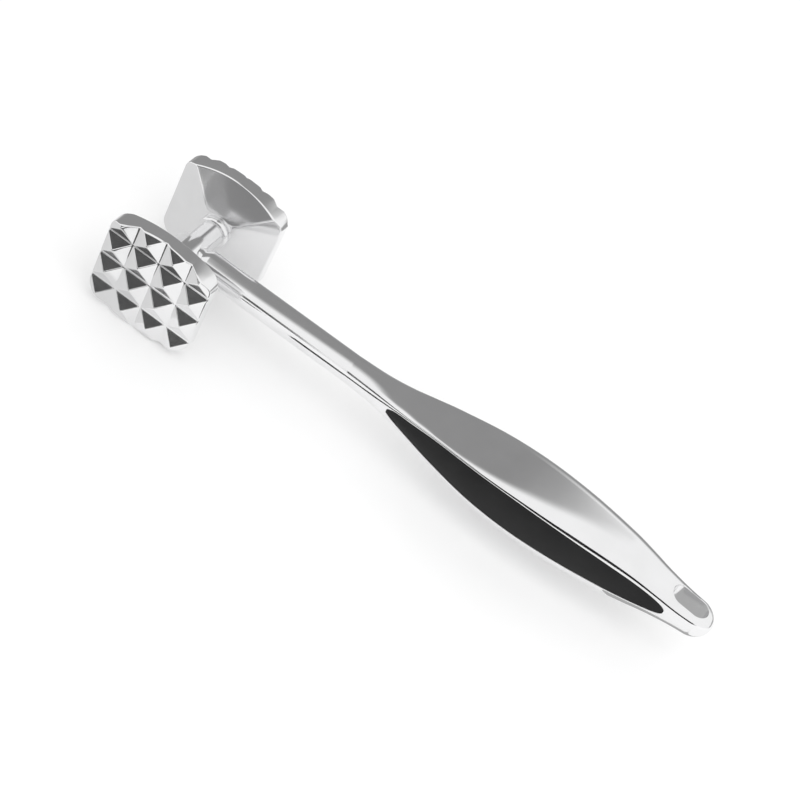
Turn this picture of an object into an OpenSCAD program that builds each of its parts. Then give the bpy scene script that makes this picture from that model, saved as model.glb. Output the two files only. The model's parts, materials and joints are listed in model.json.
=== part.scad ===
// Two-sided meat mallet: a coarse and a fine toothed head on a cross barrel, a round stem, and a
// cast grip with a soft inlay let into each side and a hanging slot through its tail.
// It lies on its side: +X runs from the head to the tail, -Y is the coarse side, +Y the fine side,
// and +Z is up. The origin is on the ground, under the middle of the mallet's bounding box.

/* [Striking faces] */
// Width of each face along the handle
face_w = 43.2; // [42:0.1:44.4]
// Height of each face at its middle
face_h = 43.0; // [42:0.1:44.4]
// Radius of the bowed upper and lower edges
face_bow_r = 43.2; // [40:0.2:60]
// Radius of the four corners
face_corner_r = 4.5; // [3:0.1:6]
// Distance between the tooth roots of the two faces
root_gap = 52.3; // [48:0.1:58]
// Width of the square grid that the teeth stand on
tooth_grid_w = 44.8; // [44.6:0.1:46]
// Teeth in each row of the coarse face
coarse_rows = 4; // [3:1:5]
// Teeth in each row of the fine face
fine_rows = 6; // [5:1:8]
// Height of the coarse teeth
coarse_tooth_h = 2.6; // [2:0.1:3.2]
// Height of the fine teeth
fine_tooth_h = 1.8; // [1.2:0.1:2.2]
// Width of the blunt tip of a tooth
tooth_tip_w = 0.3; // [0.2:0.05:0.6]

/* [Backs of the heads] */
// Distance between the flat seats behind the two heads
seat_gap = 33.4; // [30:0.1:36]
// Width of the square seat behind each head
seat_w = 13.0; // [12.4:0.1:16]
// Slope of the four facets behind each head
back_slope = 17.2; // [14:0.1:18]

/* [Neck] */
// Radius of the cross barrel between the heads
barrel_r = 5.0; // [4.6:0.1:5.3]
// Outer radius of the bead collars
collar_r = 6.4; // [5.8:0.1:6.5]
// Length of each bead collar
collar_l = 2.6; // [2.2:0.1:3]
// Radius of the stud that ties the two heads together
tie_stud_r = 3.0; // [2.5:0.1:3.2]
// Depth of the stud's hole in each head
tie_hole_depth = 6.4; // [5:0.1:7]

/* [Stem] */
// Radius of the round stem
stem_r = 5.5; // [5.4:0.05:5.6]
// Radius of the stem's root, where it meets the barrel
stem_root_r = 4.3; // [4:0.1:4.8]
// Where the root starts to swell, from the middle of the head
root_from = 5.4; // [5.2:0.1:6]
// Where the root reaches the full radius of the stem
root_to = 8.4; // [7.5:0.1:12]
// Where the stem turns into the grip, from the middle of the head
stem_end = 72; // [68:0.5:74]
// Radius of the stud that holds the stem to the barrel
stem_stud_r = 2.0; // [1.6:0.1:2.4]
// Length of that stud
stem_stud_l = 30; // [20:1:36]

/* [Grip] */
// Distance from the middle of the head to the end of the tail
reach = 227.4; // [226:0.2:229]
// Thickness of the cast web between the two side pockets
web_t = 4.4; // [3:0.2:6]
// Thickness of each soft inlay
inlay_t = 2.4; // [1.8:0.1:3]
// How far the middle of each inlay bulges past its edges
inlay_bulge = 0.5; // [0:0.1:1]
// Gap all round an inlay and its carrier
inlay_gap = 0.15; // [0.1:0.05:0.3]
// Width of the ledge that each inlay rests on
ledge_w = 1.5; // [1.2:0.1:2]
// Radius of the pins that hold the carriers to the web
pin_r = 1.6; // [1.2:0.1:2]

/* [Hanging slot] */
// Length of the slot over its round ends
slot_l = 14.7; // [12:0.1:15]
// Width of the slot
slot_w = 8.2; // [7:0.1:8.4]
// Middle of the slot, from the middle of the head
slot_x = 216; // [215:0.1:217]

/* [Hidden] */

zinc = "silver";
steel = "slategray";
soft_black = "#2b2b2b";
plastic_black = "#484848";

root_d = root_gap / 2;
seat_d = seat_gap / 2;
barrel_l = seat_gap - 2 * collar_l;
tie_stud_l = seat_gap + 2 * tie_hole_depth - 0.6;
stud_chamfer = 0.6;
cut_over = 1;
big = 80;

// The bounding box runs from the head's outer edge to the tail, and from tooth tip to tooth tip.
mid_x = (reach - face_w / 2) / 2;
mid_y = (fine_tooth_h - coarse_tooth_h) / 2;

// The grip starts this much larger than the stem, so that its flats clear the round stem.
stem_step = 0.08;
// Grip sections along the handle, from the middle of the head:
// place, half width, half height, half height of the flat side, squareness of the rounding.
grip_sections = [
    [stem_end, stem_r + stem_step, stem_r + stem_step, 0.0, 2.0],
    [84, 6.1, 5.6, 0.6, 2.1],
    [94, 7.2, 5.7, 2.2, 2.3],
    [103, 8.6, 6.3, 3.9, 2.5],
    [112, 9.9, 7.5, 5.3, 2.5],
    [131, 12.4, 9.4, 7.0, 2.5],
    [149, 13.0, 10.8, 7.6, 2.5],
    [168, 12.1, 11.3, 7.1, 2.5],
    [187, 10.1, 10.3, 5.9, 2.5],
    [196, 8.9, 8.9, 5.0, 2.5],
    [205, 7.8, 7.0, 3.7, 2.5],
    [215, 7.0, 5.5, 2.4, 2.5],
    [reach, 5.9, 5.0, 1.8, 2.5]
];
// Edge of the inlays along the handle: place, half height.
inlay_edge = [
    [91.4, 0.6], [92.2, 1.2], [94.5, 2.0], [103, 3.4], [112, 4.8], [131, 6.5], [149, 7.1],
    [168, 6.6], [187, 5.4], [196, 4.5], [203, 3.4], [207.5, 2.3], [209.4, 1.4], [210.2, 0.6]
];
inlay_from = inlay_edge[0][0];
inlay_to = inlay_edge[len(inlay_edge) - 1][0];
// The tail rounds off over its last stretch.
tail_round = 7.4;
// The carriers stop short of the slot.
carrier_from = 103;
carrier_to = 199;
pin_places = [118, 150, 182];
pin_depth = 3.0;
ring_sides = 40;
grip_rings = 34;
tail_rings = 7;
inlay_rings = 36;
inlay_sides = 8;

// Row of a table that holds the place x.
function row(table, x, i = 0) =
    (i >= len(table) - 2 || x < table[i + 1][0]) ? i : row(table, x, i + 1);

// Slope of one column at a row of a table.
function slope(table, col, i) =
    let (a = max(i - 1, 0), b = min(i + 1, len(table) - 1))
    (table[b][col] - table[a][col]) / (table[b][0] - table[a][0]);

// Smooth curve through one column of a table.
function smooth(table, col, x) =
    let (
        i = row(table, x),
        gap = table[i + 1][0] - table[i][0],
        u = min(max((x - table[i][0]) / gap, 0), 1),
        rise = 3 * u * u - 2 * u * u * u
    )
    table[i][col] * (1 - rise) + table[i + 1][col] * rise
        + slope(table, col, i) * gap * u * (1 - u) * (1 - u)
        - slope(table, col, i + 1) * gap * u * u * (1 - u);

// Share of the full section that is left where the tail rounds off.
function tail_share(x) =
    let (u = (x - (reach - tail_round)) / tail_round)
    u <= 0 ? 1 : sqrt(max(1 - u * u, 0));

function half_w(x) = smooth(grip_sections, 1, x) * tail_share(x);
function half_edge(x) = smooth(inlay_edge, 1, x);
function sign_pow(v, p) = sign(v) * pow(abs(v), p);

// One closed ring of the grip: flat sides joined by rounded top and bottom arches.
function grip_ring(x) =
    let (
        w = half_w(x),
        share = tail_share(x),
        h = smooth(grip_sections, 2, x) * share,
        flat = smooth(grip_sections, 3, x) * share,
        p = 2 / smooth(grip_sections, 4, x)
    )
    [for (i = [0:ring_sides - 1])
        let (a = (i + 0.5) * 360 / ring_sides)
        [x, w * sign_pow(cos(a), p), sign(sin(a)) * (flat + (h - flat) * pow(abs(sin(a)), p))]];

function arc(cx, cy, r, from, to, steps) =
    [for (i = [0:steps]) let (a = from + (to - from) * i / steps) [cx + r * cos(a), cy + r * sin(a)]];

// Square face with bowed upper and lower edges and rounded corners.
function face_outline() =
    let (
        bow_c = face_bow_r - face_h / 2,
        cx = face_w / 2 - face_corner_r,
        cy = sqrt(pow(face_bow_r - face_corner_r, 2) - cx * cx) - bow_c,
        turn = atan2(cy + bow_c, cx),
        step = (180 - 2 * turn) / 16
    )
    concat(
        arc(cx, cy, face_corner_r, 0, turn, 5),
        arc(0, -bow_c, face_bow_r, turn + step, 180 - turn - step, 14),
        arc(-cx, cy, face_corner_r, 180 - turn, 180, 5),
        arc(-cx, -cy, face_corner_r, 180, 180 + turn, 5),
        arc(0, bow_c, face_bow_r, 180 + turn + step, 360 - turn - step, 14),
        arc(cx, -cy, face_corner_r, 360 - turn, 360, 5)
    );

// Closed solid through a row of rings that have the same number of points.
module skin(rings) {
    n = len(rings[0]);
    last = len(rings) - 1;
    sides = [for (r = [0:last - 1], i = [0:n - 1])
        let (a = r * n + i, b = r * n + (i + 1) % n)
        each [[a, a + n, b], [b, a + n, b + n]]];
    start_cap = [for (i = [0:n - 1]) i];
    end_cap = [for (i = [0:n - 1]) last * n + (n - i) % n];
    polyhedron([for (ring = rings) each ring], concat([start_cap, end_cap], sides));
}

// Moves a piece from the head's middle to the mallet's own origin.
module placed() {
    translate([-mid_x, -mid_y, face_h / 2]) children();
}

// Turns a piece built upwards so that up becomes outwards, on the coarse or the fine side.
module outward(fine) {
    mirror([0, fine ? 1 : 0, 0]) rotate([90, 0, 0]) children();
}

// Straight groove between two rows of teeth, with its root along local Y.
module tooth_groove(pitch, tooth_h) {
    w = (pitch - tooth_tip_w) / 2;
    top = tooth_h + cut_over;
    rotate([90, 0, 0]) linear_extrude(big, center = true)
        polygon([[0, 0], [w, tooth_h], [w, top], [-w, top], [-w, tooth_h]]);
}

// Head built upwards from its seat: faceted back, rim, and a square grid of pyramid teeth.
module head(rows, tooth_h) {
    pitch = tooth_grid_w / rows;
    difference() {
        translate([0, 0, seat_d]) linear_extrude(root_d + tooth_h - seat_d) polygon(face_outline());
        for (turn = [0, 90], i = [0:rows])
            rotate(turn) translate([(i - rows / 2) * pitch, 0, root_d]) tooth_groove(pitch, tooth_h);
        for (turn = [0:90:270])
            rotate(turn) translate([seat_w / 2, 0, seat_d]) rotate([0, -back_slope, 0])
                translate([0, -big / 2, -big / 2]) cube([big, big, big / 2]);
        translate([0, 0, seat_d - cut_over]) cylinder(r = tie_stud_r, h = tie_hole_depth + cut_over, $fn = 48);
    }
}

// Round bead ring that stands on a seat, with the tie stud through it.
module collar() {
    bead = collar_l / 2;
    translate([0, 0, seat_d - bead]) rotate_extrude($fn = 64) {
        translate([tie_stud_r, -bead]) square([collar_r - bead - tie_stud_r, collar_l]);
        translate([collar_r - bead, 0]) circle(r = bead, $fn = 32);
    }
}

// Straight stud with chamfered ends, standing up from z = 0.
module stud(r, l) {
    rotate_extrude($fn = 48) polygon([
        [0, 0], [r - stud_chamfer, 0], [r, stud_chamfer], [r, l - stud_chamfer],
        [r - stud_chamfer, l], [0, l]
    ]);
}

// Lens-shaped block let into one side of the grip, from x_from to x_to. Its half height is the
// inlay's edge less the inset, and at each place it reaches from depth near(x) to far(x).
module side_block(x_from, x_to, inset, near, far, bulge) {
    skin([for (i = [0:inlay_rings])
        let (
            x = (x_from + x_to) / 2 - (x_to - x_from) / 2 * cos(i * 180 / inlay_rings),
            h = max(half_edge(x) - inset, 0.3),
            y_near = near(x),
            y_far = far(x)
        )
        concat(
            [[x, y_near, h], [x, y_near, -h]],
            [for (k = [0:inlay_sides]) let (v = 2 * k / inlay_sides - 1)
                [x, y_far + bulge * (1 - v * v), v * h]]
        )]);
}

// Round stem along +X, with a slimmer root that the barrel is saddled into.
module stem() {
    rotate([0, 90, 0]) rotate_extrude($fn = 64) polygon([
        [0, 0], [stem_root_r, 0], [stem_root_r, root_from], [stem_r, root_to],
        [stem_r, stem_end], [0, stem_end]
    ]);
}

// Hanging slot, straight through the tail from top to bottom.
module slot_cut() {
    run = (slot_l - slot_w) / 2;
    for (s = [-1, 1])
        translate([slot_x + s * run, 0, 0]) cylinder(d = slot_w, h = big, center = true, $fn = 64);
    translate([slot_x, 0, 0]) cube([2 * run, slot_w, big], center = true);
}

module side_pins() {
    for (x = pin_places)
        translate([x, 0, 0]) rotate([90, 0, 0])
            cylinder(r = pin_r, h = web_t + 2 * pin_depth, center = true, $fn = 32);
}

// Carrier under one inlay, filling the deep pocket between the web and the inlay.
module carrier() {
    difference() {
        side_block(carrier_from, carrier_to, ledge_w, function(x) web_t / 2,
            function(x) half_w(x) - inlay_t, 0);
        side_pins();
    }
}

module inlay() {
    side_block(inlay_from + inlay_gap, inlay_to - inlay_gap, inlay_gap,
        function(x) half_w(x) - inlay_t, function(x) half_w(x), inlay_bulge);
}

// Shallow recess for an inlay, and the deeper pocket for its carrier.
module side_pocket() {
    side_block(inlay_from, inlay_to, 0, function(x) half_w(x) - inlay_t,
        function(x) half_w(x) + cut_over, 0);
    side_block(carrier_from - inlay_gap, carrier_to + inlay_gap, ledge_w - inlay_gap,
        function(x) web_t / 2, function(x) half_w(x) - inlay_t + cut_over, 0);
}

module coarse_head() {
    color(zinc) placed() outward(false) head(coarse_rows, coarse_tooth_h);
}

module fine_head() {
    color(zinc) placed() outward(true) head(fine_rows, fine_tooth_h);
}

module coarse_collar() {
    color(zinc) placed() outward(false) collar();
}

module fine_collar() {
    color(zinc) placed() outward(true) collar();
}

// Round barrel across the stem, bored through for the tie stud and drilled for the stem stud.
module neck_barrel() {
    color(zinc) placed() difference() {
        rotate([90, 0, 0]) cylinder(r = barrel_r, h = barrel_l, center = true, $fn = 64);
        rotate([90, 0, 0]) cylinder(r = tie_stud_r, h = barrel_l + 2 * cut_over, center = true, $fn = 48);
        rotate([0, 90, 0]) cylinder(r = stem_stud_r, h = 2 * barrel_r, $fn = 48);
    }
}

module tie_stud() {
    color(steel) placed() difference() {
        translate([0, tie_stud_l / 2, 0]) rotate([90, 0, 0]) stud(tie_stud_r, tie_stud_l);
        rotate([0, 90, 0]) cylinder(r = stem_stud_r, h = 4 * tie_stud_r, center = true, $fn = 48);
    }
}

module stem_stud() {
    color(steel) placed() translate([-tie_stud_r + stud_chamfer, 0, 0]) rotate([0, 90, 0])
        stud(stem_stud_r, stem_stud_l);
}

module handle_casting() {
    grip_from = stem_end;
    round_from = reach - tail_round;
    rings = concat(
        [for (i = [0:grip_rings]) grip_ring(grip_from + (round_from - grip_from) * i / grip_rings)],
        [for (i = [1:tail_rings]) grip_ring(round_from + tail_round * sin(i * 88 / tail_rings))]
    );
    color(zinc) placed() difference() {
        union() {
            stem();
            skin(rings);
        }
        rotate([90, 0, 0]) cylinder(r = barrel_r, h = big, center = true, $fn = 64);
        rotate([0, 90, 0]) cylinder(r = stem_stud_r, h = stem_stud_l, $fn = 48);
        slot_cut();
        side_pins();
        for (side = [0, 1]) mirror([0, side, 0]) side_pocket();
    }
}

module coarse_side_carrier() {
    color(plastic_black) placed() mirror([0, 1, 0]) carrier();
}

module fine_side_carrier() {
    color(plastic_black) placed() carrier();
}

module coarse_side_inlay() {
    color(soft_black) placed() mirror([0, 1, 0]) inlay();
}

module fine_side_inlay() {
    color(soft_black) placed() inlay();
}

module carrier_pins() {
    color(steel) placed() side_pins();
}

coarse_head();
fine_head();
coarse_collar();
fine_collar();
neck_barrel();
tie_stud();
stem_stud();
handle_casting();
coarse_side_carrier();
fine_side_carrier();
coarse_side_inlay();
fine_side_inlay();
carrier_pins();
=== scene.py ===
"""Looks of the two-sided meat mallet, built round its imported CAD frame.

The mallet's sizes are in millimetres from the middle of the head until a piece is made, and then
in metres in the row frame: +X runs to the tail, -Y is the coarse side, +Y the fine side and +Z is
up. The stage and its cards are in metres in the row frame.
"""

import json
import math

import bmesh
import bpy
import numpy as np
from mathutils import Matrix, Vector

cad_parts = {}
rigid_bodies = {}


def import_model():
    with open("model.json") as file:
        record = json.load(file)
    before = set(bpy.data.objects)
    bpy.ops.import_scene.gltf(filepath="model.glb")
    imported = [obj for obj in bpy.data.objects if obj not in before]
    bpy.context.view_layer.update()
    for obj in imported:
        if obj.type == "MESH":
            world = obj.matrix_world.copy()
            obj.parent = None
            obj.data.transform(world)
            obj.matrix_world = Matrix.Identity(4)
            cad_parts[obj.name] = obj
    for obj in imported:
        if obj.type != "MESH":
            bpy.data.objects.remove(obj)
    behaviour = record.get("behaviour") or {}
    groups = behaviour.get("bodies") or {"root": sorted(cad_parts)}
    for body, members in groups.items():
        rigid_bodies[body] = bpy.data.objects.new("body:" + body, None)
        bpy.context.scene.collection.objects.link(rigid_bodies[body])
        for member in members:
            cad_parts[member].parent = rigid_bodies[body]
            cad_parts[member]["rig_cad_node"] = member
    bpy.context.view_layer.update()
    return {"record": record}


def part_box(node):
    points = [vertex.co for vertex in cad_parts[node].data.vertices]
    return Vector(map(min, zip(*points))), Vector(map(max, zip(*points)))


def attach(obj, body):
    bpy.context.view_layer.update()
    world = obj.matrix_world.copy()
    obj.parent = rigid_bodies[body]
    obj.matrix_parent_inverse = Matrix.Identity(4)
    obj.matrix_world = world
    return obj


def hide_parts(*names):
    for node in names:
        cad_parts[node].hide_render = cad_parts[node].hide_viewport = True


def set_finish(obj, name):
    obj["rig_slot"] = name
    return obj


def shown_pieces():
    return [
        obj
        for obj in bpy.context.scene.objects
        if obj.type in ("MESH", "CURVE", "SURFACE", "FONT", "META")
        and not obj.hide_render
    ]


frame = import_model()
MM = 0.001


def head_middle():
    """The middle of the head, in metres in the row frame."""
    low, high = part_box("coarse_head")
    barrel_low, barrel_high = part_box("neck_barrel")
    return Vector(((low.x + high.x) / 2, (barrel_low.y + barrel_high.y) / 2, (low.z + high.z) / 2))


MIDDLE = head_middle()

# Neck and stem
BARREL_R = (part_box("neck_barrel")[1].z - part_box("neck_barrel")[0].z) / 2 / MM
BARREL_BORE_R = 3.0
SEAT_D = (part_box("fine_head")[0].y - MIDDLE.y) / MM
COLLAR_R = (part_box("coarse_collar")[1].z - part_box("coarse_collar")[0].z) / 2 / MM
COLLAR_L = (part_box("coarse_collar")[1].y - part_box("coarse_collar")[0].y) / MM
STEM_END = 72.0
STEM_R = 5.5
STEM_ROOT_R, ROOT_FROM, ROOT_TO = 4.3, 5.4, 8.4
STEM_PLAIN_FROM = 12.0
JOINT_SOFTNESS = 0.35
# The stem's softened joint to the barrel: shares of its way out, and how fast the softening ends
SADDLE_SHARES, SADDLE_FADE = (0.0, 0.1, 0.25, 0.5, 1.0), 3.0

# Heads
FACE_W = (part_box("coarse_head")[1].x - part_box("coarse_head")[0].x) / MM
FACE_H = (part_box("coarse_head")[1].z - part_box("coarse_head")[0].z) / MM
FACE_BOW_R, FACE_CORNER_R = 43.2, 4.5
ROOT_D = 26.15
TOOTH_GRID, TOOTH_TIP = 44.8, 0.3
COARSE_ROWS, COARSE_TOOTH_H, COARSE_SPLITS = 4, 2.6, 32
FINE_ROWS, FINE_TOOTH_H, FINE_SPLITS = 6, 1.8, 22
TOOTH_CAP, TOOTH_CAP_SOFT = 0.02, 0.05
SEAT_W, BACK_SLOPE = 13.0, 17.2
VALLEY_SOFT, RIDGE_SOFT, CREASE_SOFT, SEAT_SOFT = 0.12, 0.1, 0.5, 0.6
FACE_EDGE_SOFT, BACK_EDGE_SOFT = 0.45, 0.5
# Distances of the rim's grid lines from the outline
RIM_FINE = (0.55, 0.4, 0.27, 0.16, 0.07, 0.02, 0.0)

# Grip: place along the handle, half width, half height, half height of the flat side, squareness
GRIP = np.array(
    [
        (72.0, 5.5, 5.5, 0.0, 2.0),
        (84.0, 6.1, 5.6, 0.6, 2.1),
        (94.0, 7.2, 5.7, 2.2, 2.3),
        (103.0, 8.6, 6.3, 3.9, 2.5),
        (112.0, 9.9, 7.5, 5.3, 2.5),
        (131.0, 12.4, 9.4, 7.0, 2.5),
        (149.0, 13.0, 10.8, 7.6, 2.5),
        (168.0, 12.1, 11.3, 7.1, 2.5),
        (187.0, 10.1, 10.3, 5.9, 2.5),
        (196.0, 8.9, 8.9, 5.0, 2.5),
        (205.0, 7.8, 7.0, 3.7, 2.5),
        (215.0, 7.0, 5.5, 2.4, 2.5),
        (227.4, 5.9, 5.0, 1.8, 2.5),
    ]
)
REACH = (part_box("handle_casting")[1].x - MIDDLE.x) / MM
TAIL_ROUND = 7.4
# Steps between the handle's sections: over the root, stem, grip and tail, and at an inlay's tips
ROOT_STEP, STEM_STEP, GRIP_STEP, TAIL_STEP_DEG, TIP_STEP, TIP_STEPS = 0.2, 4.0, 0.8, 4, 0.25, 8
WALL_STEP, TAIL_END_STEP = 0.02, 0.004

# Edge of the inlays: place along the handle, half height
INLAY_EDGE = np.array(
    [
        (91.4, 0.6),
        (92.2, 1.2),
        (94.5, 2.0),
        (103.0, 3.4),
        (112.0, 4.8),
        (131.0, 6.5),
        (149.0, 7.1),
        (168.0, 6.6),
        (187.0, 5.4),
        (196.0, 4.5),
        (203.0, 3.4),
        (207.5, 2.3),
        (209.4, 1.4),
        (210.2, 0.6),
    ]
)
INLAY_FROM, INLAY_TO = INLAY_EDGE[0][0], INLAY_EDGE[-1][0]
INLAY_T, INLAY_GAP, INLAY_SUNK = 2.4, 0.12, 0.05
# Crown of an inlay and the run over which it grows, and the roll of its edge: run and fall
INLAY_BULGE, BULGE_RUN, EDGE_ROLL, EDGE_FALL = 0.5, 6.0, 0.3, 0.16
LEDGE_W, LIP_R = 1.5, 0.18
# As shares of a section's half height: most for an inlay's edge and for the lip, least for the rim
EDGE_SHARE, LIP_SHARE, RIM_SHARE = 0.8, 0.08, 0.03
# Least half height of the pocket, as a share of the inlay's
POCKET_SHARE = 0.3
WEB_T = 4.4
POCKET_FROM, POCKET_TO = 103.0, 199.0

# Hanging slot
SLOT_X, SLOT_L, SLOT_W = 216.0, 14.7, 8.2
SLOT_LIP, SLOT_LIP_DEG = 0.3, 72
# The slot's cutter above the skin: how far it flares and at what height, and how high it ends
CUTTER_FLARE, CUTTER_FLARE_H, CUTTER_TOP = 0.9, 0.35, 3.0

# Stage: strengths of the floor's glow, of white and of grey, and the places of roof and back wall
FLOOR_SIZE, FLOOR_GLOW = 3.0, 0.15
TENT, ROOF = 1.0, 0.3
ROOF_H, WALL_Y = 0.4, 0.9
BLACK = (0, 0, 0, 1)
WHITE = (1, 1, 1, 1)


def placed(points):
    """Millimetres from the middle of the head, as metres in the row frame."""
    return np.asarray(points, float) * MM + np.array(MIDDLE)


def smooth(table, column, x):
    """Smooth curve through one column of a table."""
    i = int(np.clip(np.searchsorted(table[:, 0], x, side="right") - 1, 0, len(table) - 2))

    def slope(k):
        a, b = max(k - 1, 0), min(k + 1, len(table) - 1)
        return (table[b, column] - table[a, column]) / (table[b, 0] - table[a, 0])

    gap = table[i + 1, 0] - table[i, 0]
    u = min(max((x - table[i, 0]) / gap, 0.0), 1.0)
    rise = 3 * u**2 - 2 * u**3
    start, end = table[i, column], table[i + 1, column]
    bend = slope(i) * gap * u * (1 - u) ** 2 - slope(i + 1) * gap * u**2 * (1 - u)
    return start * (1 - rise) + end * rise + bend


def section(x):
    """Half width, half height, half height of the flat side, and squareness of the handle at x."""
    u = (x - (REACH - TAIL_ROUND)) / TAIL_ROUND
    share = 1.0 if u <= 0 else math.sqrt(max(1 - u * u, 0.0))
    w, h, flat = (smooth(GRIP, c, x) * share for c in (1, 2, 3))
    return w, h, flat, smooth(GRIP, 4, x)


def side_y(x, z):
    """Half width of the handle at height z."""
    w, h, flat, m = section(x)
    over = max(abs(z) - flat, 0.0) / max(h - flat, 1e-6)
    return w * max(1 - over**m, 0.0) ** (1 / m)


def top_z(x, y):
    """Half height of the handle at the sideways place y."""
    w, h, flat, m = section(x)
    over = min(abs(y) / max(w, 1e-6), 1.0)
    return flat + (h - flat) * (1 - over**m) ** (1 / m)


def new_piece(name, points, faces, slot):
    """A closed mesh piece from points in millimetres from the middle of the head.

    Without a slot it is a tool for cutting, and rides on nothing.
    """
    mesh = bpy.data.meshes.new(name)
    mesh.from_pydata([tuple(p) for p in placed(points)], [], faces)
    piece = bpy.data.objects.new(name, mesh)
    bpy.context.scene.collection.objects.link(piece)
    tidy_mesh(mesh)
    if slot:
        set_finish(piece, slot)
        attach(piece, "root")
    return piece


def tidy_mesh(mesh):
    """Joins points that coincide, and turns all faces outwards."""
    bm = bmesh.new()
    bm.from_mesh(mesh)
    bmesh.ops.remove_doubles(bm, verts=bm.verts, dist=2e-7)
    bmesh.ops.dissolve_degenerate(bm, edges=bm.edges, dist=2e-7)
    bmesh.ops.recalc_face_normals(bm, faces=bm.faces)
    bm.to_mesh(mesh)
    bm.free()


def shade(piece, degrees, weighted=True):
    """Smooth shading that stays sharp over edges steeper than the angle."""
    piece.data.shade_smooth()
    piece.data.set_sharp_from_angle(angle=math.radians(degrees))
    if weighted:
        weight = piece.modifiers.new("weighted", "WEIGHTED_NORMAL")
        weight.keep_sharp = True


def baked(piece):
    """Applies a piece's modifiers to its mesh."""
    bpy.context.view_layer.update()
    seen = piece.evaluated_get(bpy.context.evaluated_depsgraph_get())
    mesh = bpy.data.meshes.new_from_object(seen)
    piece.modifiers.clear()
    piece.data = mesh


def skin_faces(rings, n):
    """Faces through rings of n points that follow each other in one list, with closed ends."""
    faces = []
    for r in range(rings - 1):
        for i in range(n):
            j = (i + 1) % n
            faces.append((r * n + i, r * n + j, (r + 1) * n + j, (r + 1) * n + i))
    faces.append(tuple(range(n - 1, -1, -1)))
    faces.append(tuple((rings - 1) * n + i for i in range(n)))
    return faces


# ---- heads ----


def outline_h(x):
    """Half height of a face's outline at the places x, and the middles of its corner and bow."""
    x = np.abs(x)
    bow_c, cx = FACE_BOW_R - FACE_H / 2, FACE_W / 2 - FACE_CORNER_R
    cz = math.sqrt((FACE_BOW_R - FACE_CORNER_R) ** 2 - cx**2) - bow_c
    reach = np.clip(x - cx, 0, FACE_CORNER_R)
    bow = np.sqrt(FACE_BOW_R**2 - x**2) - bow_c
    corner = cz + np.sqrt(FACE_CORNER_R**2 - reach**2)
    turn = FACE_BOW_R * cx / (FACE_BOW_R - FACE_CORNER_R)
    return np.where(x < turn, bow, corner), cx, cz, bow_c


def outline_gap(x, z):
    """Distance from points on a face to its outline."""
    _, cx, cz, bow_c = outline_h(x)
    x, z = np.abs(x), np.abs(z)
    to_bow = FACE_BOW_R - np.hypot(x, z + bow_c)
    to_side = FACE_W / 2 - x
    to_corner = FACE_CORNER_R - np.hypot(x - cx, z - cz)
    in_corner = (x > cx) & (z > cz) & ((x - cx) * (cz + bow_c) > (z - cz) * cx)
    return np.maximum(np.where(in_corner, to_corner, np.minimum(to_bow, to_side)), 0)


def soft_min(a, b, soft):
    """The lower of two, with a rounded change from one to the other."""
    return (a + b - np.sqrt((a - b) ** 2 + soft**2)) / 2


def soft_max(a, b, soft):
    """The higher of two, with a rounded change from one to the other."""
    return (a + b + np.sqrt((a - b) ** 2 + soft**2)) / 2


def head_lines(half, cell):
    """Evenly spaced lines from the middle out to half, with finer ones along the rim."""
    inner = np.arange(1, int((half - RIM_FINE[0]) / cell) + 1) * cell
    outer = half - np.array(RIM_FINE)
    side = np.concatenate([inner, outer])
    return np.concatenate([-side[::-1], [0.0], side])


def head_places(pitch, splits):
    """The grid of (x, z) places that a head's face and back both use."""
    cell = pitch / splits
    xs = head_lines(FACE_W / 2, cell)
    zs = head_lines(FACE_H / 2, cell)
    half = outline_h(xs)[0][:, None]
    fine = len(RIM_FINE)
    grid_z = np.clip(np.tile(zs, (len(xs), 1)), -half + RIM_FINE[0], half - RIM_FINE[0])
    grid_z[:, -fine:] = half - np.array(RIM_FINE)
    grid_z[:, :fine] = -grid_z[:, : -fine - 1 : -1]
    return np.tile(xs[:, None], (1, len(zs))), grid_z


def tooth_height(x, z, rows, tooth_h):
    """Height of the pyramid teeth over their roots, with soft valleys and ridges."""
    pitch = TOOTH_GRID / rows
    rise = tooth_h / ((pitch - TOOTH_TIP) / 2)

    def groove(s):
        away = np.abs((s / pitch + rows / 2 + 0.5) % 1 - 0.5) * pitch
        return rise * np.sqrt(away**2 + VALLEY_SOFT**2)

    pyramid = soft_min(groove(x), groove(z), RIDGE_SOFT)
    return soft_min(pyramid, tooth_h + TOOTH_CAP, TOOTH_CAP_SOFT)


def rim_fall(x, z, radius):
    """How far a rounded edge of that radius lies below the flat, near the outline."""
    near = 1 - np.minimum(outline_gap(x, z) / radius, 1)
    return radius * (1 - np.sqrt(1 - near**2))


def back_depth(x, z):
    """Distance of the back from the middle of the neck: a seat and four sloping facets."""
    rise = math.tan(math.radians(BACK_SLOPE))
    out = soft_max(np.abs(x), np.abs(z), CREASE_SOFT) - SEAT_W / 2
    return SEAT_D + rise * soft_max(out, 0.0, SEAT_SOFT) - rise * SEAT_SOFT / 2


def grid_faces(nx, nz, flip, split):
    """Triangles over a grid, each cell split along the diagonal that split chooses."""
    faces = []
    for i in range(nx - 1):
        for j in range(nz - 1):
            a, b = i * nz + j, (i + 1) * nz + j
            c, d = b + 1, a + 1
            pair = [(a, b, c), (a, c, d)] if split[i, j] else [(a, b, d), (b, c, d)]
            faces += [t[::-1] for t in pair] if flip else pair
    return faces


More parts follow.
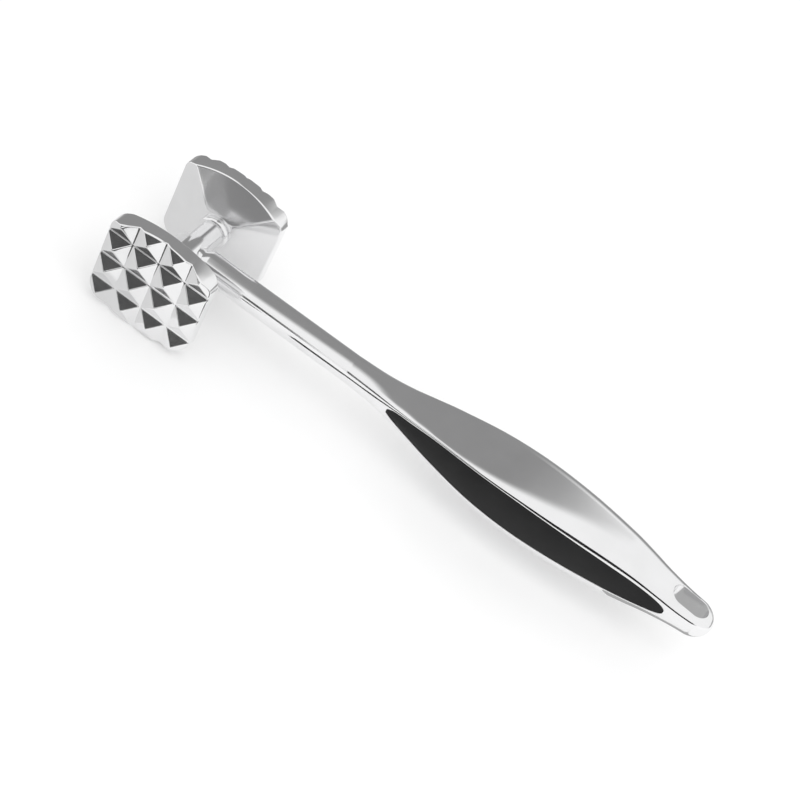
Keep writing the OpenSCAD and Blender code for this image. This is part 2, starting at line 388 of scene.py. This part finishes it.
def rim_faces(nx, nz, flip):
    """The faces that join the edge of the front's grid to the edge of the back's."""
    ring = [(i, 0) for i in range(nx)] + [(nx - 1, j) for j in range(1, nz)]
    ring += [(i, nz - 1) for i in range(nx - 2, -1, -1)] + [(0, j) for j in range(nz - 2, 0, -1)]
    ids, back = [i * nz + j for i, j in ring], nx * nz
    faces = []
    for a, b in zip(ids, ids[1:] + ids[:1]):
        faces.append((a, a + back, b + back, b) if flip else (a, b, b + back, a + back))
    return faces


def make_head(node, name, side, rows, tooth_h, splits):
    """One head: toothed face, rim and faceted back, each a fine grid over the same places."""
    pitch = TOOTH_GRID / rows
    x, z = head_places(pitch, splits)
    nx, nz = x.shape
    front = ROOT_D + tooth_height(x, z, rows, tooth_h) - rim_fall(x, z, FACE_EDGE_SOFT)
    back = back_depth(x, z) + rim_fall(x, z, BACK_EDGE_SOFT)
    points = np.concatenate([np.stack([x, side * d, z], -1).reshape(-1, 3) for d in (front, back)])
    mid_x, mid_z = (x[:-1, :-1] + x[1:, 1:]) / 2, (z[:-1, :-1] + z[1:, 1:]) / 2

    def from_tip(s):
        return (s / pitch + rows / 2) % 1 - 0.5

    faces = grid_faces(nx, nz, side > 0, from_tip(mid_x) * from_tip(mid_z) > 0)
    back_faces = grid_faces(nx, nz, side < 0, mid_x * mid_z > 0)
    faces += [tuple(k + nx * nz for k in t) for t in back_faces]
    faces += rim_faces(nx, nz, side > 0)
    piece = new_piece(name, points, faces, "satin_chrome")
    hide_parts(node)
    shade(piece, 60, weighted=False)


# ---- neck ----


def lathe(name, profile, slot, sides=96):
    """A ring about the Y axis, from a closed profile of (radius, y) points."""
    points, faces, n = [], [], len(profile)
    for s in range(sides):
        a = 2 * math.pi * s / sides
        points += [(r * math.cos(a), y, r * math.sin(a)) for r, y in profile]
        t = (s + 1) % sides
        for i in range(n):
            j = (i + 1) % n
            faces.append((s * n + i, s * n + j, t * n + j, t * n + i))
    return new_piece(name, points, faces, slot)


def collar_profile(side, steps=18):
    """A round bead that stands on the seat."""
    bead, inner = COLLAR_L / 2, COLLAR_R / 2
    middle = SEAT_D - bead
    arc = [
        (COLLAR_R - bead + bead * math.cos(a), side * (middle + bead * math.sin(a)))
        for a in (math.pi * (k / steps - 0.5) for k in range(steps + 1))
    ]
    return [(inner, side * (middle - bead))] + arc + [(inner, side * (middle + bead))]


def make_neck():
    """Barrel with softened ends that leave a fine joint line, and the two beads at its ends."""
    half, soft, steps = SEAT_D - COLLAR_L, JOINT_SOFTNESS, 4
    outer = [
        (BARREL_R - soft * (1 - math.cos(a)), half - soft * (1 - math.sin(a)))
        for a in (math.pi / 2 * k / steps for k in range(steps + 1))
    ]
    bore = [(BARREL_BORE_R, half), (BARREL_BORE_R, -half)]
    profile = [(r, -y) for r, y in reversed(outer)] + outer + bore
    barrel = lathe("barrel", profile, "satin_chrome")
    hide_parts("neck_barrel")
    shade(barrel, 40)
    for name, side in (("coarse_collar", -1), ("fine_collar", 1)):
        bead = lathe(name.replace("collar", "bead"), collar_profile(side), "bright_chrome")
        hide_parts(name)
        shade(bead, 40)


# ---- handle ----


def recess_depths(x):
    """How deep the inlay's ledge and the pocket in it lie under the side at x."""
    inside = INLAY_FROM <= x <= INLAY_TO
    ledge = INLAY_T if inside else 0.0
    pocket = section(x)[0] - WEB_T / 2 if POCKET_FROM <= x <= POCKET_TO else ledge
    return ledge, pocket


def edge_at(x):
    """Half height of the inlay's edge at x."""
    return smooth(INLAY_EDGE, 1, float(np.clip(x, INLAY_FROM, INLAY_TO)))


def flank(x, steps=3):
    """(y, z) points up one side from its middle: pocket, ledge, wall, rounded lip, flat rim."""
    _, h, flat, _ = section(x)
    edge = min(edge_at(x), h * EDGE_SHARE)
    lip_r = min(LIP_R, h * LIP_SHARE)
    ledge, pocket = recess_depths(x)
    inner = max(edge - LEDGE_W, edge * POCKET_SHARE)
    outer = inner * 1.0001  # keeps two points apart where there is no pocket

    def at(z, depth):
        return (side_y(x, z) - depth, z)

    points = [at(0.0, pocket), at(inner, pocket), at(outer, ledge), at(edge, ledge)]
    for k in range(steps + 1):
        a = math.pi / 2 * k / steps
        depth = lip_r * (1 - math.sin(a)) if ledge else 0.0
        points.append(at(edge + lip_r * (1 - math.cos(a)), depth))
    rim = max(flat, edge + lip_r + h * RIM_SHARE)
    points.append(at((edge + lip_r + rim) / 2, 0.0))
    points.append(at(rim, 0.0))
    return points, rim


def quarter(x, arch=18):
    """(y, z) points of a quarter of the section at x, from the middle of the side to the top."""
    points, rim = flank(x)
    w, h, flat, m = section(x)
    share = min(max((rim - flat) / max(h - flat, 1e-6), 0.0), 0.999)
    start = math.asin(share ** (m / 2))
    for k in range(1, arch + 1):
        a = start + (math.pi / 2 - start) * k / arch
        y = w * abs(math.cos(a)) ** (2 / m)
        z = flat + (h - flat) * math.sin(a) ** (2 / m)
        points.append((y if k < arch else 0.0, z))
    return points


def handle_ring(x):
    """Whole section of the handle at x."""
    up_right = quarter(x)
    up_left = [(-y, z) for y, z in reversed(up_right[:-1])]
    low_left = [(-y, -z) for y, z in up_right[1:]]
    low_right = [(y, -z) for y, z in reversed(up_right[1:-1])]
    return up_right + up_left + low_left + low_right


def handle_places():
    """Places along the handle for its sections, close together where it changes fast."""
    tail = REACH - TAIL_ROUND
    places = list(np.arange(STEM_END, tail, GRIP_STEP))
    places += [tail + TAIL_ROUND * math.sin(math.radians(a)) for a in range(0, 88, TAIL_STEP_DEG)]
    places += [REACH - TAIL_END_STEP]
    for tip in (INLAY_FROM, INLAY_TO, POCKET_FROM, POCKET_TO):
        places += [tip - WALL_STEP, tip + WALL_STEP]
    for k in range(1, TIP_STEPS + 1):
        places += [INLAY_FROM + TIP_STEP * k, INLAY_TO - TIP_STEP * k]
    return sorted({round(float(x), 4) for x in places})


def saddle_radius(share):
    """Radius of the stem's root as it leaves the barrel, from 0 at the joint to 1."""
    return STEM_ROOT_R - JOINT_SOFTNESS * max(1 - SADDLE_FADE * share, 0.0) ** 2


def root_radius(x):
    """Radius of the stem along its root, which swells in a smooth step."""
    u = min(max((x - ROOT_FROM) / (ROOT_TO - ROOT_FROM), 0.0), 1.0)
    return STEM_ROOT_R + (STEM_R - STEM_ROOT_R) * math.sin(u * math.pi / 2)


def make_handle():
    """Stem and grip in one skin, with the recesses for the inlays, then cut for the slot."""
    rings = []
    ring = np.array(handle_ring(STEM_END)) / STEM_R
    start = ring * saddle_radius(0)
    saddle = np.sqrt(BARREL_R**2 - start[:, 1] ** 2)
    for share in SADDLE_SHARES:
        x = saddle + (ROOT_FROM - saddle) * share
        rings.append(np.c_[x, ring * saddle_radius(share)])
    root_places = list(np.arange(ROOT_FROM + ROOT_STEP, ROOT_TO + 3 * ROOT_STEP, ROOT_STEP))
    for x in root_places + list(np.arange(STEM_PLAIN_FROM, STEM_END - 1, STEM_STEP)):
        rings.append(np.c_[np.full(len(ring), x), ring * root_radius(x)])
    for x in handle_places():
        rings.append(np.c_[np.full(len(ring), x), np.array(handle_ring(x))])
    points = np.concatenate(rings)
    piece = new_piece("handle", points, skin_faces(len(rings), len(ring)), "satin_chrome")
    cut_slot(piece)
    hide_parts("handle_casting")
    shade(piece, 34)


def slot_outline(grow, n=40):
    """Outline of the slot as (x, y) points, grown outwards."""
    run, r = (SLOT_L - SLOT_W) / 2, SLOT_W / 2 + grow
    outline = []
    for end, start in ((1, -math.pi / 2), (-1, math.pi / 2)):
        for k in range(n):
            a = start + math.pi * k / (n - 1)
            outline.append((SLOT_X + end * run + r * math.cos(a), r * math.sin(a)))
    return outline


def slot_level(sign, grow, rise):
    """The slot's outline, grown, at a rise over the tail's upper (+1) or lower (-1) surface."""
    last = REACH - 1.0
    return [(x, y, sign * (top_z(min(x, last), y) + rise)) for x, y in slot_outline(grow)]


def cut_slot(handle, steps=5):
    """Cuts the hanging slot, with a rounded lip that follows the tail's surface."""
    levels = []
    for k in range(steps + 1):
        a = math.radians(SLOT_LIP_DEG) * k / steps
        levels.append((SLOT_LIP * (1 - math.cos(a)), -SLOT_LIP * (1 - math.sin(a))))
    flare = levels[-1][0] + CUTTER_FLARE
    levels += [(flare, CUTTER_FLARE_H), (flare, CUTTER_TOP)]
    rings = [slot_level(-1, *level) for level in reversed(levels)]
    rings += [slot_level(1, *level) for level in levels]
    faces = skin_faces(len(rings), len(rings[0]))
    cutter = new_piece("slot_cutter", np.concatenate(rings), faces, None)
    cut = handle.modifiers.new("slot", "BOOLEAN")
    cut.operation, cut.solver, cut.object = "DIFFERENCE", "MANIFOLD", cutter
    baked(handle)
    bpy.data.objects.remove(cutter)


# ---- inlays ----


def inlay_places(near_tips=(0.0, 0.15, 0.4), run=0.8, step=0.9):
    """Places along an inlay for its sections, close together at its tips."""
    start, end = INLAY_FROM + INLAY_GAP, INLAY_TO - INLAY_GAP
    middle = list(np.arange(start + run, end - run, step))
    return [start + d for d in near_tips] + middle + [end - d for d in reversed(near_tips)]


def make_inlay(name, node, side, across=14):
    """One soft inlay: crowned across, rounded down at its edge, seated on the ledge."""
    places = inlay_places()
    rings = []
    for x in places:
        half = max(edge_at(x) - INLAY_GAP, 0.2)
        from_tip = min(x - places[0], places[-1] - x)
        crown = INLAY_BULGE * min(from_tip / BULGE_RUN, 1.0)
        ring = []
        for k in range(-across, across + 1):
            v = math.sin(math.pi / 2 * k / across)
            z = v * half
            reach_in = min(half - abs(z), from_tip)
            fall = EDGE_FALL * max(1 - reach_in / EDGE_ROLL, 0.0) ** 2
            y = side_y(x, z) + crown * (1 - v * v) - INLAY_SUNK - fall
            ring.append((x, side * y, z))
        back = side * (section(x)[0] - INLAY_T)
        ring += [(x, back, half), (x, back, -half)]
        rings.append(ring)
    faces = skin_faces(len(rings), len(rings[0]))
    piece = new_piece(name, np.concatenate(rings), faces, "soft_grip")
    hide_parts(node)
    shade(piece, 50)


# ---- materials ----


class Nodes:
    """Short names for building one node material."""

    def __init__(self, name):
        self.material = bpy.data.materials.new(name)
        self.material.use_nodes = True
        self.tree = self.material.node_tree
        self.shader = self.tree.nodes["Principled BSDF"]
        self.place = self.add("ShaderNodeTexCoord").outputs["Object"]

    def add(self, kind, **values):
        """A new node with these properties."""
        node = self.tree.nodes.new(kind)
        for key, value in values.items():
            setattr(node, key, value)
        return node

    def link(self, source, target):
        self.tree.links.new(source, target)

    def noise(self, size, detail=2.0, rough=0.5, stretch=None):
        """Noise whose blobs are about this many millimetres across."""
        node = self.add("ShaderNodeTexNoise")
        node.inputs["Scale"].default_value = 1 / (size * MM)
        node.inputs["Detail"].default_value = detail
        node.inputs["Roughness"].default_value = rough
        source = self.place
        if stretch:
            mapping = self.add("ShaderNodeMapping")
            mapping.inputs["Scale"].default_value = stretch
            self.link(source, mapping.inputs["Vector"])
            source = mapping.outputs["Vector"]
        self.link(source, node.inputs["Vector"])
        return node.outputs["Fac"]

    def ramp(self, source, low, high, start=0.35, end=0.65):
        """Maps noise between two values."""
        node = self.add("ShaderNodeMapRange")
        limits = {"From Min": start, "From Max": end, "To Min": low, "To Max": high}
        for key, value in limits.items():
            node.inputs[key].default_value = value
        self.link(source, node.inputs["Value"])
        return node.outputs["Result"]

    def colours(self, source, low, high, start=0.35, end=0.65):
        """Maps noise between two colours."""
        node = self.add("ShaderNodeMix", data_type="RGBA")
        node.inputs[6].default_value = (*low, 1)
        node.inputs[7].default_value = (*high, 1)
        self.link(self.ramp(source, 0, 1, start, end), node.inputs[0])
        return node.outputs[2]

    def bump(self, source, depth, strength, under=None):
        """Relief of so many millimetres, laid over another relief if one is given."""
        node = self.add("ShaderNodeBump")
        node.inputs["Distance"].default_value = depth * MM
        node.inputs["Strength"].default_value = strength
        self.link(source, node.inputs["Height"])
        if under:
            self.link(under, node.inputs["Normal"])
        return node.outputs["Normal"]

    def combine(self, operation, a, b):
        """A sum, difference or product; either side is a node's output or a number."""
        node = self.add("ShaderNodeMath", operation=operation)
        for socket, value in zip(node.inputs, (a, b)):
            if isinstance(value, float):
                socket.default_value = value
            else:
                self.link(value, socket)
        return node.outputs["Value"]

    def set(self, **values):
        """Sets the shader's own sockets, whose names have spaces for underscores."""
        for key, value in values.items():
            self.shader.inputs[key.replace("_", " ")].default_value = value


def metal(name, tone, rough, grain):
    """Plated metal: fine blasted grain, slow cloudiness in the plating, and a faint wave."""
    n = Nodes(name)
    fine = n.noise(size=0.28, detail=2, rough=0.6)
    clouds = n.noise(size=14, detail=3, rough=0.55)
    wave = n.noise(size=9, detail=1, rough=0.4, stretch=(0.35, 1, 1))
    cloud_tone, cloud_smoother, cloud_rougher = 0.035, 0.015, 0.02
    bright = tuple(min(c + cloud_tone, 1) for c in tone)
    n.link(n.colours(clouds, tone, bright), n.shader.inputs["Base Color"])
    cloudy = n.ramp(clouds, rough - cloud_smoother, rough + cloud_rougher)
    roughness = n.combine("ADD", cloudy, n.ramp(fine, -grain, grain))
    n.link(roughness, n.shader.inputs["Roughness"])
    waved = n.bump(wave, depth=0.05, strength=0.25)
    n.link(n.bump(fine, depth=0.004, strength=0.35, under=waved), n.shader.inputs["Normal"])
    n.set(Metallic=1.0)
    return n.material


def soft_rubber(name):
    """Moulded rubber: dull charcoal with a fine spark-eroded grain."""
    n = Nodes(name)
    grain = n.noise(size=0.22, detail=3, rough=0.6)
    clouds = n.noise(size=11, detail=2, rough=0.5)
    dark, worn = (0.0095, 0.0095, 0.0098), (0.013, 0.013, 0.0133)
    n.link(n.colours(clouds, dark, worn), n.shader.inputs["Base Color"])
    roughness = n.combine("ADD", n.ramp(clouds, 0.56, 0.62), n.ramp(grain, -0.05, 0.05))
    n.link(roughness, n.shader.inputs["Roughness"])
    n.link(n.bump(grain, depth=0.03, strength=0.5), n.shader.inputs["Normal"])
    n.set(Specular_IOR_Level=0.28)
    return n.material


def plastic(name):
    """Dark moulded plastic with a fine grain."""
    n = Nodes(name)
    grain = n.noise(size=0.4)
    dark, light = (0.05, 0.05, 0.05), (0.07, 0.07, 0.07)
    n.link(n.colours(grain, dark, light), n.shader.inputs["Base Color"])
    n.link(n.ramp(grain, 0.4, 0.5), n.shader.inputs["Roughness"])
    return n.material


def dress(materials):
    """Gives every shown piece the material of its slot."""
    subparts = {s["node"]: s["material_slot"] for s in frame["record"]["subparts"]}
    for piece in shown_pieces():
        slot = piece.get("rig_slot") or subparts[piece["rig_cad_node"]]
        if not piece.material_slots:
            piece.data.materials.append(None)
        for place in piece.material_slots:
            place.material = materials[slot]


# ---- stage ----


def flat_thing(name, corners, material):
    """One flat face, in metres in the row frame."""
    mesh = bpy.data.meshes.new(name)
    mesh.from_pydata(corners, [], [tuple(range(len(corners)))])
    mesh.materials.append(material)
    thing = bpy.data.objects.new(name, mesh)
    bpy.context.scene.collection.objects.link(thing)
    return thing


def card(name, corners, light):
    """A flat card that glows with an even light, seen only in reflections. Gives back its nodes."""
    n = Nodes(name)
    n.set(Base_Color=BLACK, Specular_IOR_Level=0.0, Emission_Color=WHITE, Emission_Strength=light)
    thing = flat_thing(name, corners, n.material)
    thing.visible_camera = False
    thing.visible_shadow = False
    thing.visible_diffuse = False
    thing.visible_transmission = False
    return n


def make_floor():
    """A plain pale floor."""
    n = Nodes("floor")
    darker, lighter = (0.79, 0.79, 0.79), (0.81, 0.81, 0.81)
    n.link(n.colours(n.noise(size=60), darker, lighter), n.shader.inputs["Base Color"])
    n.set(Roughness=0.9, Specular_IOR_Level=0.0, Emission_Color=WHITE, Emission_Strength=FLOOR_GLOW)
    signs = ((-1, -1), (1, -1), (1, 1), (-1, 1))
    flat_thing("floor", [(FLOOR_SIZE * x, FLOOR_SIZE * y, 0) for x, y in signs], n.material)


def make_tent():
    """A white light tent, as a world of soft light."""
    world = bpy.data.worlds.new("tent")
    bpy.context.scene.world = world
    world.use_nodes = True
    back = world.node_tree.nodes["Background"]
    back.inputs["Color"].default_value = WHITE
    back.inputs["Strength"].default_value = TENT


def shaded_panel(name, corners, fades, clear):
    """A panel of the tent that is partly grey.

    Each fade is a direction and the two places along it between which white turns to grey; the
    fades of clear bound a corner of the panel that stays white.
    """
    n = card(name, corners, TENT)

    def fade(direction, white, grey):
        along = n.add("ShaderNodeVectorMath", operation="DOT_PRODUCT")
        along.inputs[1].default_value = direction
        n.link(n.place, along.inputs[0])
        node = n.add("ShaderNodeMapRange", interpolation_type="SMOOTHSTEP")
        node.inputs["From Min"].default_value = white
        node.inputs["From Max"].default_value = grey
        n.link(along.outputs["Value"], node.inputs["Value"])
        return node.outputs["Result"]

    def all_of(bounds):
        result = fade(*bounds[0])
        for bound in bounds[1:]:
            result = n.combine("MULTIPLY", result, fade(*bound))
        return result

    grey = n.combine("MULTIPLY", all_of(fades), n.combine("SUBTRACT", 1.0, all_of(clear)))
    strength = n.ramp(grey, TENT, ROOF, 0, 1)
    n.link(strength, n.shader.inputs["Emission Strength"])


def make_panels():
    """A grey roof and a grey back wall over the head's end of the tent."""
    left, right, front = -2.0, 1.0, -0.8
    back_top = [(right, WALL_Y, ROOF_H), (left, WALL_Y, ROOF_H)]
    roof = [(left, front, ROOF_H), (right, front, ROOF_H)] + back_top
    wall = [(left, WALL_Y, 0), (right, WALL_Y, 0)] + back_top
    slanted, along, across, up = (-2.2, 1, 0), (1, 0, 0), (0, 1, 0), (0, 0, 1)
    white_corner = [(along, -0.16, -0.23), (across, 0.10, -0.02)]
    shaded_panel("roof_panel", roof, [(slanted, 0.0, 0.22), (along, 0.25, -0.05)], white_corner)
    shaded_panel("wall_panel", wall, [(along, 0.8, 0.3)], [(up, 0.12, 0.36), (along, -0.1, 0.15)])


def flat_card(name, outline, light, height=0.0004):
    """A card that lies on the floor."""
    card(name, [(x, y, height) for x, y in outline], light)


def make_flags():
    """Black and grey cards that draw the dark lines and the dark tooth faces.

    Most lie on the floor round the mallet, and two stand at the front edge of the stage.
    """
    front = -0.8
    standing = [(-0.60, 0.0), (-0.18, 0.0), (-0.18, 0.20), (-0.60, 0.20)]
    card("tooth_flag", [(x, front, z) for x, z in standing], light=0.08)
    before = [(-0.60, front), (-0.18, front), (-0.15, -0.20), (-0.30, -0.20)]
    flat_card("front_flag", before, light=0.35)
    beside = [(-0.30, -0.11), (-0.118, -0.11), (-0.112, -0.05), (-0.106, -0.035), (-0.104, -0.025)]
    beside += [(-0.118, -0.02), (-0.118, 0.06), (-0.30, 0.06)]
    flat_card("side_flag", beside, light=0.76)
    below = [(-0.15, -0.10), (-0.085, -0.10), (-0.085, -0.069), (-0.097, -0.066), (-0.104, -0.053)]
    flat_card("tooth_line_flag", below + [(-0.15, -0.053)], light=0.1, height=0.0006)
    behind = [(-0.45, 0.07), (-0.16, 0.07), (1.2, 0.13), (1.2, 0.89), (-1.2, 0.89)]
    flat_card("back_flag", behind, light=0.38)
    near = [(-0.061, -0.031), (0.0, -0.037), (0.05, -0.051), (0.12, -0.056), (0.30, -0.20)]
    far = [(-0.061, -0.050), (-0.01, -0.065), (0.0, -0.14), (0.0, -0.30), (0.0, -0.79)]
    flat_card("line_flag", near + [(0.50, -0.79)] + far[::-1], light=0.02)
    low = [(0.0, 0.0), (0.5, 0.0), (0.5, 0.13), (0.19, 0.13), (0.15, 0.05), (0.0, 0.05)]
    card("tail_flag", [(x, front, z) for x, z in low], light=0.04)
    # Grey card on the floor under the slot: painted shadow of the handle on the floor, seen only in
    # the slot's reflections.
    shadow_under_slot = [(0.09, -0.0235), (0.13, -0.0235), (0.13, 0.045), (0.09, 0.045)]
    flat_card("slot_shadow_flag", shadow_under_slot, light=0.45)


def make_light():
    """One soft light from above, which reflections don't see."""
    data = bpy.data.lights.new("softbox", "AREA")
    data.shape, data.size, data.size_y, data.energy = "RECTANGLE", 1.2, 1.2, 5
    light = bpy.data.objects.new("softbox", data)
    light.location = (0.7, -0.5, 1.2)
    light.rotation_euler = (-light.location).to_track_quat("-Z", "Y").to_euler()
    light.visible_glossy = False
    bpy.context.scene.collection.objects.link(light)


def make_camera():
    """The photograph's viewing angle: from the front, above the head's end, rolled to the left."""
    data = bpy.data.cameras.new("camera")
    data.sensor_width, data.lens = 36.0, 93.4
    data.clip_start, data.clip_end = 0.05, 10
    camera = bpy.data.objects.new("camera", data)
    right = Vector((0.80473, 0.46524, 0.36872))
    up = Vector((-0.58372, 0.50712, 0.63411))
    back = right.cross(up)
    turn = Matrix((right, up, back)).transposed().to_4x4()
    stand = MIDDLE + Vector((171.9, -531.3, 499.2)) * MM
    camera.matrix_world = Matrix.Translation(stand) @ turn
    bpy.context.scene.collection.objects.link(camera)
    bpy.context.scene.camera = camera
    bpy.context.scene.view_settings.view_transform = "Standard"


make_camera()
make_head("coarse_head", "coarse_face_head", -1, COARSE_ROWS, COARSE_TOOTH_H, COARSE_SPLITS)
make_head("fine_head", "fine_face_head", 1, FINE_ROWS, FINE_TOOTH_H, FINE_SPLITS)
make_neck()
make_handle()
make_inlay("coarse_side_grip", "coarse_side_inlay", -1)
make_inlay("fine_side_grip", "fine_side_inlay", 1)
dress(
    {
        "satin_chrome": metal("satin_chrome", (0.84, 0.84, 0.845), rough=0.1, grain=0.012),
        "bright_chrome": metal("bright_chrome", (0.83, 0.83, 0.835), rough=0.09, grain=0.012),
        "plain_steel": metal("plain_steel", (0.55, 0.55, 0.56), rough=0.32, grain=0.04),
        "soft_grip": soft_rubber("soft_grip"),
        "carrier_plastic": plastic("carrier_plastic"),
    }
)
make_floor()
make_tent()
make_panels()
make_flags()
make_light()
